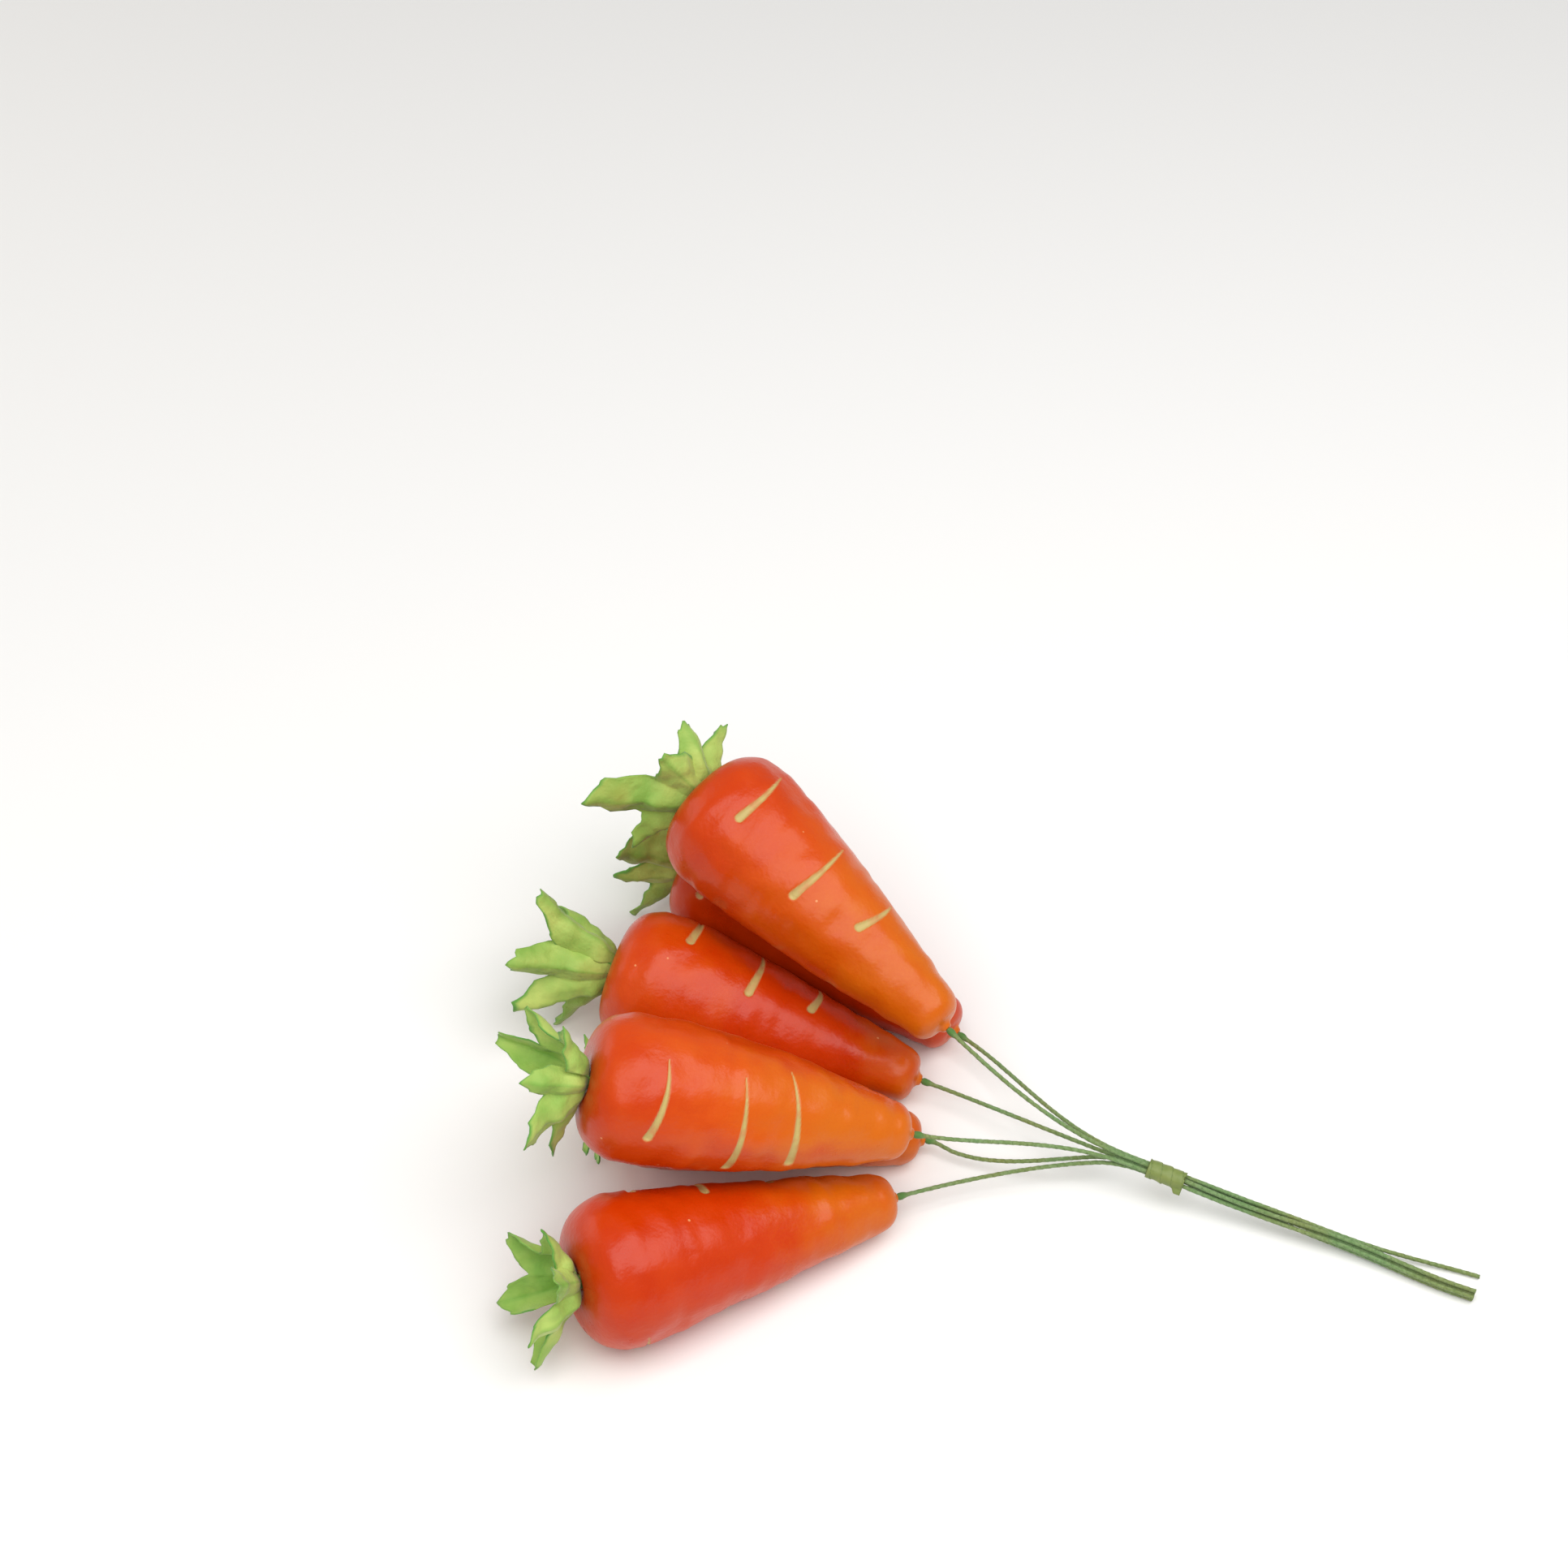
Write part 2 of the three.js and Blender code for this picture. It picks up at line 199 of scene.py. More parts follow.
# %% The half section
SOCKET_RADIUS = 1.9
SOCKET_DEPTH = 5.5
CROWN_FACE = 0.35      # radius of the crown's flat face, as a part of the carrot's radius
CROWN_DIMPLE = 0.9     # depth of the dimple around the leaves
SHOULDER = 0.143       # length of the shoulder and of the nose, as parts of the carrot's length
NOSE = 0.08
NOSE_RADIUS = 0.4
NUB_RADIUS = 1.2
NUB_LENGTH = 1.3
NUB_FILLET = 1.3       # how far the nose runs out into the nub
HOLE_RADIUS = 0.52
HOLE_DEPTH = 6         # shorter than the bore, so the wire runs on for about 8 mm into the foam
SKIN_STEP = 0.75       # mm between points along the skin
FULLNESS = {"back_upper": 1.35, "back_lower": 1.2, "middle": 1.25,
            "front_upper": 1.9, "front_lower": 1.2, "outer": 1.15}


def section(length, radius, fullness):
    """Points (distance from the line, distance from the crown) in mm."""
    points = [(0, SOCKET_DEPTH), (SOCKET_RADIUS, SOCKET_DEPTH), (SOCKET_RADIUS, 2),
              (SOCKET_RADIUS, CROWN_DIMPLE)]
    face = radius * CROWN_FACE
    for i in range(1, 5):
        out = i / 5
        points.append((mix(SOCKET_RADIUS, face, out), CROWN_DIMPLE * (1 - out) ** 2))
    shoulder = SHOULDER * length
    steps = round(1.35 * shoulder / SKIN_STEP)
    for i in range(steps + 1):
        turn = i / steps * math.pi / 2
        points.append((mix(face, radius, math.sin(turn) ** 0.7), shoulder * (1 - math.cos(turn))))
    nose = length * (1 - NOSE)
    steps = round((nose - shoulder) / SKIN_STEP)
    for i in range(1, steps + 1):
        u = i / steps
        points.append((radius * (1 - (1 - NOSE_RADIUS) * u ** fullness), mix(shoulder, nose, u)))
    nub_start = length - NUB_LENGTH
    steps = round(1.5 * NOSE_RADIUS * radius / SKIN_STEP)
    for i in range(1, steps + 1):
        turn = i / steps * math.pi / 2
        r = mix(NUB_RADIUS + NUB_FILLET, NOSE_RADIUS * radius, math.cos(turn))
        points.append((r, mix(nose, nub_start, math.sin(turn))))
    for out, up in ((0.62, 0.14), (0.32, 0.3), (0.12, 0.5), (0, 0.72)):
        points.append((NUB_RADIUS + NUB_FILLET * out, nub_start + NUB_LENGTH * up))
    points += [(NUB_RADIUS - 0.12, length - 0.15), (NUB_RADIUS - 0.35, length)]
    points += [(HOLE_RADIUS, length), (HOLE_RADIUS, length - HOLE_DEPTH), (0, length - HOLE_DEPTH)]
    return points


# %% [markdown]
# ## Marks, dents and paint
#
# Shallow grooves are pressed across each side of a real one, thin at one end and thick at the other, and
# left in the pale colour of the foam. They are given here as a place along the carrot and the two turns
# around it at which they start and end. Where a groove runs the mesh is cut finer, so that its edge stays
# crisp. A bump texture could fake the dent, but real geometry also catches the light.
#
# The lower-frequency swells matter as much: the wavy edge of each highlight comes from them.

# %% Grooves
# Along the carrot, turn of the thin end and of the thick end, and the lean of the groove in mm.
MARKS = {
    "back_upper": [(0.17, 36, -22, 1.6), (0.44, 36, -38, 0.6), (0.64, 48, -15, -0.4),
                   (0.22, 215, 160, -1), (0.4, 200, 118, 1), (0.58, 225, 150, 0.8)],
    "back_lower": [(0.12, -24, -56, 1), (0.36, 20, -50, 0.8), (0.6, 22, -48, 1),
                   (0.2, 190, 120, 1), (0.45, 200, 130, -0.8), (0.66, 185, 128, 1)],
    "middle": [(0.2, 66, 9, 0.8), (0.42, 56, -14, 0.8), (0.615, 52, -1, 0.4),
               (0.17, 245, 180, -1), (0.4, 250, 176, 1.2), (0.6, 238, 180, 0.8)],
    "front_upper": [(0.183, -12, -77, -1.3), (0.432, -15, -108, 0.8), (0.593, 4, -96, 3.2),
                    (0.2, 150, 92, 1), (0.41, 165, 100, -1), (0.62, 150, 96, 1)],
    "front_lower": [(0.19, -30, -95, 1), (0.43, -35, -110, 1), (0.6, -30, -100, 1.4),
                    (0.2, 140, 70, 1), (0.45, 150, 80, 1), (0.62, 130, 75, 1)],
    "outer": [(0.2, 100, 40, 1), (0.398, 92, 23, 0.8), (0.61, 98, 36, 1),
              (0.15, -101, -165, 1), (0.42, -112, -176, 1), (0.6, -118, -178, 0.6)],
}
MARK_WIDTHS = (0.1, 0.55, 0.95)   # half width at the thin end, in the middle and at the thick end
MARK_DEPTH = 0.5
MARK_BOW = 0.9         # how far its middle bows towards the tip
MARK_REACH = 0.6       # the mesh is cut finer this near to a groove


def mark_distance(marks, length, radius, along, turn):
    """Signed distance in mm from a place on the skin to the edge of the nearest groove, negative inside."""
    best = 9
    for place, thin, thick, lean in marks:
        span = thick - thin
        part = ((turn - thin + 180) % 360 - 180) / span
        inside = min(1, max(0, part))
        beyond = (part - inside) * math.radians(abs(span)) * radius
        aside = along - place * length - lean * (inside - 0.5) - MARK_BOW * math.sin(inside * math.pi)
        if inside < 0.5:
            width = mix(MARK_WIDTHS[0], MARK_WIDTHS[1], inside * 2)
        else:
            width = mix(MARK_WIDTHS[1], MARK_WIDTHS[2], inside * 2 - 1)
        best = min(best, math.hypot(aside, beyond) - width)
    return best


# %% Paint
# Where the red is sprayed over the orange: how far along it starts and ends, the turn it was sprayed from,
# how far round it reaches, and how dense it is.
RED = {
    "back_upper": [(-0.4, 0.32, -5, 120, 0.65), (0.2, 0.8, -50, 50, 0.3)],
    "back_lower": [(-0.2, 1.1, 0, 240, 1.0)],
    "middle": [(0.22, 0.98, 0, 150, 1.0)],
    "front_upper": [(-0.05, 0.2, -75, 70, 0.8), (0.0, 0.7, -120, 48, 0.6), (0.1, 0.95, 66, 62, 0.75)],
    "front_lower": [(-0.2, 0.8, 30, 150, 0.9)],
    "outer": [(-0.4, 0.68, 10, 130, 1.0), (-0.3, 0.8, -100, 110, 0.75)],
}
SPRAY_EDGE = 0.3      # softness of a patch along the carrot, as a part of its length


def red_at(name, part, turn, spot):
    """How red the paint is at a place, from 0 to 1."""
    uneven = 0.2 * noise.noise(spot / 12) + 0.1 * noise.noise(spot / 4)
    red = 0
    for start, end, facing, reach, dense in RED[name]:
        lengthways = smooth_step(start - SPRAY_EDGE, start + SPRAY_EDGE, part + uneven)
        lengthways *= 1 - smooth_step(end - SPRAY_EDGE, end + SPRAY_EDGE, part + uneven)
        away = abs((turn - facing + 180) % 360 - 180)
        around = 1 - smooth_step(reach * 0.55, reach * 1.25, away + uneven * 150)
        red = max(red, lengthways * around * dense)
    return red


# %% [markdown]
# The swells come from smooth noise read at the point itself, so they need no unwrapping. Ridges that cross
# the carrot come from the same noise read with the distance along it stretched, as it is in a real root.

# %% One carrot
SIDES = 128
SWELL = 0.4            # mm, over about 14 mm
LUMP = 0.34            # mm, over about 5 mm
RIDGE = 0.23           # mm, across the carrot, about 3 mm apart
PIT = 0.05             # mm deep, one in about a square centimetre


def relief(spot, along, length):
    """How far the skin stands out at a place, in mm, apart from the grooves."""
    height = SWELL * noise.noise(spot / 14) + LUMP * noise.noise(spot / 5 + Vector((7, 7, 7)))
    ridge = noise.noise(Vector((spot.x / 14, spot.y / 14, along / 2.6)))
    height += RIDGE * ridge * (1 + noise.noise(spot / 12))
    nearest = noise.voronoi(spot / 10)[0][0] * 10
    height -= PIT * (1 - smooth_step(0.1, 0.9, nearest))
    return height * smooth_step(0, 6, along) * smooth_step(0, 5, length - along)


def carrot(name, index):
    lie = LIES[name]
    length, radius = lie["length"], lie["radius"]
    bm = bmesh.new()
    ring = [bm.verts.new((r, 0, s)) for r, s in section(length, radius, FULLNESS[name])]
    edges = [bm.edges.new(pair) for pair in zip(ring, ring[1:])]
    bmesh.ops.spin(bm, geom=ring + edges, cent=(0, 0, 0), axis=(0, 0, 1), angle=2 * math.pi,
                   steps=SIDES, use_merge=True)
    bmesh.ops.remove_doubles(bm, verts=bm.verts, dist=0.001)
    bmesh.ops.recalc_face_normals(bm, faces=bm.faces)

    def edge_of_mark(co):
        turn = math.degrees(math.atan2(co.y, co.x))
        return mark_distance(MARKS[name], length, Vector(co[:2]).length, co.z, turn)

    fine = [e for e in bm.edges if edge_of_mark((e.verts[0].co + e.verts[1].co) / 2) < MARK_REACH
            and Vector(e.verts[0].co[:2]).length > NUB_RADIUS + 1]
    bmesh.ops.subdivide_edges(bm, edges=fine, cuts=2, use_grid_fill=True)
    spot_layer = bm.verts.layers.float_vector.new("spot")
    red_layer = bm.verts.layers.float.new("red")
    mark_layer = bm.verts.layers.float.new("mark")
    part_layer = bm.verts.layers.float.new("part")
    for vert in bm.verts:
        local = vert.co.copy()
        out = Vector((local.x, local.y, 0))
        turn = math.degrees(math.atan2(local.y, local.x))
        spot = local + Vector((index * 60, 0, 0))
        vert[spot_layer] = spot
        vert[part_layer] = local.z / length
        if out.length < NUB_RADIUS + 0.8:
            height = 0
        else:
            deep = 1 - smooth_step(-0.5, 0.16, edge_of_mark(local))
            vert[mark_layer] = 1 - smooth_step(-0.16, 0.14, edge_of_mark(local))
            vert[red_layer] = red_at(name, local.z / length, turn, spot)
            height = relief(spot, local.z, length) - MARK_DEPTH * deep
        grown = out + out.normalized() * height
        place = lie["crown"] + lie["along"] * local.z + lie["top"] * grown.x + lie["side"] * grown.y
        place.z = max(place.z, 0)
        vert.co = place
    bmesh.ops.recalc_face_normals(bm, faces=bm.faces)
    return finish_piece(bm, "carrot_skin_" + name, PAINTED_FOAM, "carrot_" + name)

# %% [markdown]
# ## Painted foam
#
# The carrots are cast in expanded foam with a smooth skin, brushed with glossy acrylic and then sprayed with
# red from one or two sides. To the eye that is a soft satin shine with wide highlights, an orange that turns
# yellower towards the tip, and a red whose edge breaks up into fine droplets. The marks show the foam itself,
# which is pale and dull. Where the red goes was worked out for every point of the mesh, so the material only
# reads it and breaks its edge.

# %% Painted foam
def painted_foam():
    """Acrylic on moulded foam. Scales are per mm, because the spot attribute is in mm."""
    material, tree, shader = new_material("foam_moulded_painted_acrylic", IOR=1.47, **{
        "Specular IOR Level": 0.3, "Coat Weight": 0.04, "Coat Roughness": 0.2, "Coat IOR": 1.49})
    spot = add_node(tree, "ShaderNodeAttribute", attribute_name="spot").outputs["Vector"]
    read = {name: add_node(tree, "ShaderNodeAttribute", attribute_name=name).outputs["Fac"]
            for name in ("red", "mark", "part")}
    # Brushed base coat, yellower to the tip, with cloudy streaks about 8 mm wide.
    cloud = add_node(tree, "ShaderNodeTexNoise", {"Vector": spot, "Scale": 0.12, "Detail": 3}).outputs["Fac"]
    along = add_node(tree, "ShaderNodeMath", {0: cloud, 1: 0.5, 2: read["part"]}, operation="MULTIPLY_ADD")
    base = add_node(tree, "ShaderNodeValToRGB", {"Fac": along.outputs[0]})
    stops = base.color_ramp.elements
    stops.new(0.5)
    for stop, place, colour in zip(stops, (0.2, 0.55, 1), ("#c63a04", "#d25006", "#d0660a")):
        stop.position = place
        stop.color = linear(colour)
    # Red spray, whose droplets of about 0.5 mm break up its edge.
    drops = add_node(tree, "ShaderNodeTexNoise", {"Vector": spot, "Scale": 1.6, "Detail": 2}).outputs["Fac"]
    spread = add_node(tree, "ShaderNodeMath", {0: drops, 1: 0.35, 2: read["red"]}, operation="MULTIPLY_ADD")
    dense = add_node(tree, "ShaderNodeMapRange", {"Value": spread.outputs[0], "From Min": 0.17,
                                                  "From Max": 1.15}).outputs[0]
    tone = blend_colours(tree, cloud, linear("#bb2800"), linear("#ce4000"))
    colour = blend_colours(tree, dense, base.outputs["Color"], tone)
    # Small bubbles in the skin that the paint left open, one in a few square centimetres.
    cell = add_node(tree, "ShaderNodeTexVoronoi", {"Vector": spot, "Scale": 0.13})
    bubble = add_node(tree, "ShaderNodeMapRange", {"Value": cell.outputs["Distance"], "From Min": 0.025,
                                                   "From Max": 0.045, "To Min": 0.6, "To Max": 0}).outputs[0]
    colour = blend_colours(tree, bubble, colour, linear("#efb377"))
    # Bare foam in the marks, partly tinted by paint that ran in.
    tint = add_node(tree, "ShaderNodeTexNoise", {"Vector": spot, "Scale": 0.3, "Detail": 2}).outputs["Fac"]
    run_in = add_node(tree, "ShaderNodeMapRange", {"Value": tint, "From Min": 0.48,
                                                   "From Max": 0.72}).outputs[0]
    bare = blend_colours(tree, run_in, linear("#c2ad6c"), linear("#c88e5a"))
    colour = blend_colours(tree, read["mark"], colour, bare)
    tree.links.new(colour, shader.inputs["Base Color"])
    gloss = add_node(tree, "ShaderNodeMapRange", {"Value": cloud, "From Min": 0.3, "From Max": 0.7,
                                                  "To Min": 0.25, "To Max": 0.36}).outputs[0]
    rough = add_node(tree, "ShaderNodeMath", {0: read["mark"], 1: 0.25, 2: gloss}, operation="MULTIPLY_ADD")
    tree.links.new(rough.outputs[0], shader.inputs["Roughness"])
    # Fine unevenness of the brushed paint, about 1 mm across.
    peel = add_node(tree, "ShaderNodeTexNoise", {"Vector": spot, "Scale": 0.9, "Detail": 3}).outputs["Fac"]
    bump = add_node(tree, "ShaderNodeBump", {"Height": peel, "Strength": 0.25, "Distance": 0.0004})
    tree.links.new(bump.outputs["Normal"], shader.inputs["Normal"])
    return material


PAINTED_FOAM = painted_foam()
for index, name in enumerate(NAMES):
    skin = carrot(name, index)
    print(f"{skin.name}: {len(skin.data.polygons)} faces")

# %% [markdown]
# ## Paper-wrapped wires
#
# Each stem is a thin steel wire wound with a narrow strip of green crepe paper, so its surface is a long
# spiral of small steps. A curve with a round bevel would give a smooth tube. A grid that is rolled up around
# the middle line gives the same tube with the steps in it. The middle lines come from the CAD wires: the
# points of each of their rings are gathered and averaged.

# %% Middle lines of the wires
RING_REACH = 1.5      # mm, within which points belong to the same ring of a CAD wire


def node_points(node):
    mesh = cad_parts[node].data
    return np.unique(np.round([v.co / MM for v in mesh.vertices], 3), axis=0)


def ring_middles(points):
    """The middles of a tube's rings, from its far left end to its right end."""
    rings = []
    for point in sorted(points.tolist()):
        near = [ring for ring in rings[-3:] if np.linalg.norm(np.mean(ring, axis=0) - point) < RING_REACH]
        if near:
            near[-1].append(point)
        else:
            rings.append([point])
    return np.array(sorted(np.mean(ring, axis=0).tolist() for ring in rings if len(ring) > 4))


def smooth_line(points, step):
    """Evenly spaced points on a smooth curve through the given ones."""
    knots = np.concatenate([[0], np.cumsum(np.linalg.norm(np.diff(points, axis=0), axis=1))])
    padded = np.vstack([2 * points[0] - points[1], points, 2 * points[-1] - points[-2]])
    places = np.linspace(0, knots[-1], int(knots[-1] / step))
    line = []
    for place in places:
        i = min(len(points) - 2, int(np.searchsorted(knots, place, side="right")) - 1)
        t = (place - knots[i]) / (knots[i + 1] - knots[i])
        a, b, c, d = padded[i:i + 4]
        line.append(0.5 * (2 * b + (c - a) * t + (2 * a - 5 * b + 4 * c - d) * t ** 2
                           + (3 * b - a - 3 * c + d) * t ** 3))
    return np.array(line)


WIRE_STEP = 0.4       # mm between the rings of the fine wires
LINES = {name: smooth_line(ring_middles(node_points("wire_" + name)), WIRE_STEP) for name in NAMES}
for name, line in LINES.items():
    print(f"wire of {name}: {len(line)} rings, from {line[0].round(1)} to {line[-1].round(1)}")

# %% [markdown]
# The five wires in the ring of the bundle turn a little around the sixth, as they do when a florist rolls
# them between the fingers. The turn grows and fades along the bound stretch, so both ends stay in place.

# %% Roll the bundle
ROLL = 38             # degrees at most
tape_low, tape_high = (corner / MM for corner in np.array(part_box("tape")))
BOUND_FROM = tape_low[0] - 3
BOUND_TO = tape_high[0] + 36
centre_line = LINES["front_lower"]


def rolled(line):
    """The same line with its bound stretch turned around the bundle's middle wire."""
    middle = np.stack([np.interp(line[:, 0], centre_line[:, 0], centre_line[:, k]) for k in range(3)], axis=1)
    part = np.clip((line[:, 0] - BOUND_FROM) / (BOUND_TO - BOUND_FROM), 0, 1)
    turn = np.radians(ROLL) * np.sin(part * np.pi) ** 2
    arm = line - middle
    turned = arm.copy()
    turned[:, 1] = arm[:, 1] * np.cos(turn) - arm[:, 2] * np.sin(turn)
    turned[:, 2] = arm[:, 1] * np.sin(turn) + arm[:, 2] * np.cos(turn)
    return middle + turned


LINES = {name: rolled(line) if name != "front_lower" else line for name, line in LINES.items()}

# %% A tube around a line
def tube(line, sides, radius_at, layers):
    """A closed tube in a bmesh. radius_at gives the radius and the layer values at a ring and a turn."""
    bm = bmesh.new()
    count = len(line)
    bmesh.ops.create_grid(bm, x_segments=count - 1, y_segments=sides, size=1)
    kept = [bm.verts.layers.float.new(layer) for layer in layers]
    tangents = np.gradient(line, axis=0)
    tangents /= np.linalg.norm(tangents, axis=1)[:, None]
    for vert in bm.verts:
        i = round((vert.co.x + 1) / 2 * (count - 1))
        j = round((vert.co.y + 1) / 2 * sides) % sides
        turn = j / sides * 2 * math.pi
        tangent = Vector(tangents[i])
        across = Vector((0, 0, 1)).cross(tangent).normalized()
        up = tangent.cross(across)
        radius, *values = radius_at(i, turn)
        for layer, value in zip(kept, values):
            vert[layer] = value
        vert.co = Vector(line[i]) + (across * math.cos(turn) + up * math.sin(turn)) * radius
    bmesh.ops.remove_doubles(bm, verts=bm.verts, dist=0.0005)
    bmesh.ops.holes_fill(bm, edges=[e for e in bm.edges if e.is_boundary], sides=0)
    bmesh.ops.recalc_face_normals(bm, faces=bm.faces)
    return bm


# %% [markdown]
# ## Crepe paper
#
# The strip is dyed crepe paper, stretched and rolled on with a little glue. It is quite matt, its edge shows
# as a fine darker line at each turn, and the dye is blotchy: grey-green on one stretch, olive on the next.
# Where a wire goes into a carrot, a dab of dark green paint seals the hole.

# %% Wires
PAPER_RADIUS = 0.44
PAPER_STEP = 0.085    # height of the step where one turn of paper laps over the last
PAPER_PITCH = 1.7     # mm from turn to turn, chosen so that it shows
SEAL_RADIUS = 0.34    # how far the dab of paint stands out around the wire


def crepe_paper():
    material, tree, shader = new_material("paper_crepe_dyed_wound", IOR=1.5,
                                          **{"Roughness": 0.75, "Sheen Weight": 0.15, "Sheen Roughness": 0.5})
    place = add_node(tree, "ShaderNodeTexCoord").outputs["Object"]
    lap = add_node(tree, "ShaderNodeAttribute", attribute_name="lap").outputs["Fac"]
    seal = add_node(tree, "ShaderNodeAttribute", attribute_name="seal").outputs["Fac"]
    blotch = add_node(tree, "ShaderNodeTexNoise", {"Vector": place, "Scale": 90, "Detail": 3}).outputs["Fac"]
    sharp = add_node(tree, "ShaderNodeMapRange", {"Value": blotch, "From Min": 0.35,
                                                  "From Max": 0.65}).outputs[0]
    colour = blend_colours(tree, sharp, linear("#64864c"), linear("#747f3f"))
    grain = add_node(tree, "ShaderNodeTexNoise", {"Vector": place, "Scale": 1600, "Detail": 2}).outputs["Fac"]
    fibres = add_node(tree, "ShaderNodeMapRange", {"Value": grain, "From Min": 0.4, "From Max": 0.75,
                                                   "To Max": 0.35}).outputs[0]
    colour = blend_colours(tree, fibres, colour, linear("#a9bd8c"))
    edge = add_node(tree, "ShaderNodeMapRange", {"Value": lap, "From Min": 0.75, "From Max": 1,
                                                 "To Max": 0.75}).outputs[0]
    colour = blend_colours(tree, edge, colour, linear("#3f5228"))
    colour = blend_colours(tree, seal, colour, linear("#4c7a33"))
    tree.links.new(colour, shader.inputs["Base Color"])
    bump = add_node(tree, "ShaderNodeBump", {"Height": grain, "Strength": 0.4, "Distance": 0.0001})
    tree.links.new(bump.outputs["Normal"], shader.inputs["Normal"])
    return material


CREPE_PAPER = crepe_paper()


def wire(name, index):
    line = LINES[name]
    lie = LIES[name]
    tip = lie["crown"] + lie["along"] * lie["length"]
    beyond = [(Vector(point) - tip).dot(lie["along"]) for point in line]
    last = len(line) - 1

    def radius_at(i, turn):
        lap = (i * WIRE_STEP / PAPER_PITCH - turn / (2 * math.pi) + index * 0.37) % 1
        seal = smooth_step(-0.1, 0.5, beyond[i]) * (1 - smooth_step(1.0, 2.8, beyond[i]))
        worn = 0.03 * noise.noise(Vector((i * WIRE_STEP / 1.5, index * 9, turn)))
        frayed = 0.12 * smooth_step(last - 5, last, i) * noise.noise(Vector((turn * 2, index * 5, 3)))
        paper = 0 if beyond[i] < 0.3 else PAPER_STEP * (lap - 0.5) + worn
        return PAPER_RADIUS + paper + SEAL_RADIUS * seal + frayed, lap, seal

    bm = tube(line, 12, radius_at, ("lap", "seal"))
    return finish_piece(bm, "wound_wire_" + name, CREPE_PAPER, "wire_" + name)


for index, name in enumerate(NAMES):
    print(wire(name, index).name)

# %% [markdown]
# ## Binding tape
#
# Florist's tape is waxed paper that sticks to itself when it is stretched. A short piece is wound round the
# six wires in a spiral of three or four turns, and its loose end is left standing off as a small fold. It is
# a tube like the wires, closed over its own wall, with a step at each turn and a ridge that becomes the fold.

# %% Tape
TAPE_WALL = (1.72, 2.0)     # inner and outer radius in mm
TAPE_LAP = 0.2
TAPE_PITCH = 2.3
TAPE_CRUMPLE = 0.12
FOLD_TURN = 205
FOLD_HEIGHT = 1.2
FOLD_WIDTH = 17        # degrees from its middle to where it dies out


def waxed_tape():
    material, tree, shader = new_material("tape_waxed_paper_stretched", IOR=1.48,
                                          **{"Roughness": 0.55, "Coat Weight": 0.12, "Coat Roughness": 0.4})
    place = add_node(tree, "ShaderNodeTexCoord").outputs["Object"]
    lap = add_node(tree, "ShaderNodeAttribute", attribute_name="lap").outputs["Fac"]
    cloud = add_node(tree, "ShaderNodeTexNoise", {"Vector": place, "Scale": 420, "Detail": 3}).outputs["Fac"]
    colour = blend_colours(tree, cloud, linear("#627a34"), linear("#8d9650"))
    edge = add_node(tree, "ShaderNodeMapRange", {"Value": lap, "From Min": 0.86, "From Max": 1,
                                                 "To Max": 0.7}).outputs[0]
    colour = blend_colours(tree, edge, colour, linear("#435a24"))
    tree.links.new(colour, shader.inputs["Base Color"])
    bump = add_node(tree, "ShaderNodeBump", {"Height": cloud, "Strength": 0.5, "Distance": 0.0002})
    tree.links.new(bump.outputs["Normal"], shader.inputs["Normal"])
    return material


WAXED_TAPE = waxed_tape()
SECTION_STEPS = (44, 6)     # rings along the outside and back along the inside
TAPE_SIDES = 64
middle = centre_line[(centre_line[:, 0] > tape_low[0]) & (centre_line[:, 0] < tape_high[0])]
tape_from, tape_to = Vector(middle[0]), Vector(middle[-1])
tape_axis = (tape_to - tape_from).normalized()
tape_long = (tape_to - tape_from).length
tape_side = Vector((0, 0, 1)).cross(tape_axis).normalized()
tape_up = tape_axis.cross(tape_side)

bm = bmesh.new()
rings = sum(SECTION_STEPS)
bmesh.ops.create_grid(bm, x_segments=rings, y_segments=TAPE_SIDES, size=1)
lap_layer = bm.verts.layers.float.new("lap")
for vert in bm.verts:
    i = round((vert.co.x + 1) / 2 * rings) % rings
    j = round((vert.co.y + 1) / 2 * TAPE_SIDES) % TAPE_SIDES
    turn = j / TAPE_SIDES * 2 * math.pi
    if i <= SECTION_STEPS[0]:
        along = tape_long * i / SECTION_STEPS[0]
        lap = (along / TAPE_PITCH - turn / (2 * math.pi)) % 1
        away = abs((math.degrees(turn) - FOLD_TURN + 180) % 360 - 180)
        fold = smooth_step(tape_long - 2.4, tape_long - 1.2, along) * max(0, 1 - away / FOLD_WIDTH) ** 0.7
        crumple = TAPE_CRUMPLE * noise.noise(Vector((along / 1.2, math.cos(turn) * 2, math.sin(turn) * 2)))
        radius = TAPE_WALL[1] + TAPE_LAP * (lap - 0.5) + crumple + fold * FOLD_HEIGHT
        vert[lap_layer] = lap
    else:
        along = tape_long * (1 - (i - SECTION_STEPS[0]) / SECTION_STEPS[1])
        radius = TAPE_WALL[0]
    out = tape_side * math.cos(turn) + tape_up * math.sin(turn)
    vert.co = tape_from + tape_axis * along + out * radius
bmesh.ops.remove_doubles(bm, verts=bm.verts, dist=0.0005)
bmesh.ops.recalc_face_normals(bm, faces=bm.faces)
print(finish_piece(bm, "wound_tape", WAXED_TAPE, "tape").name)
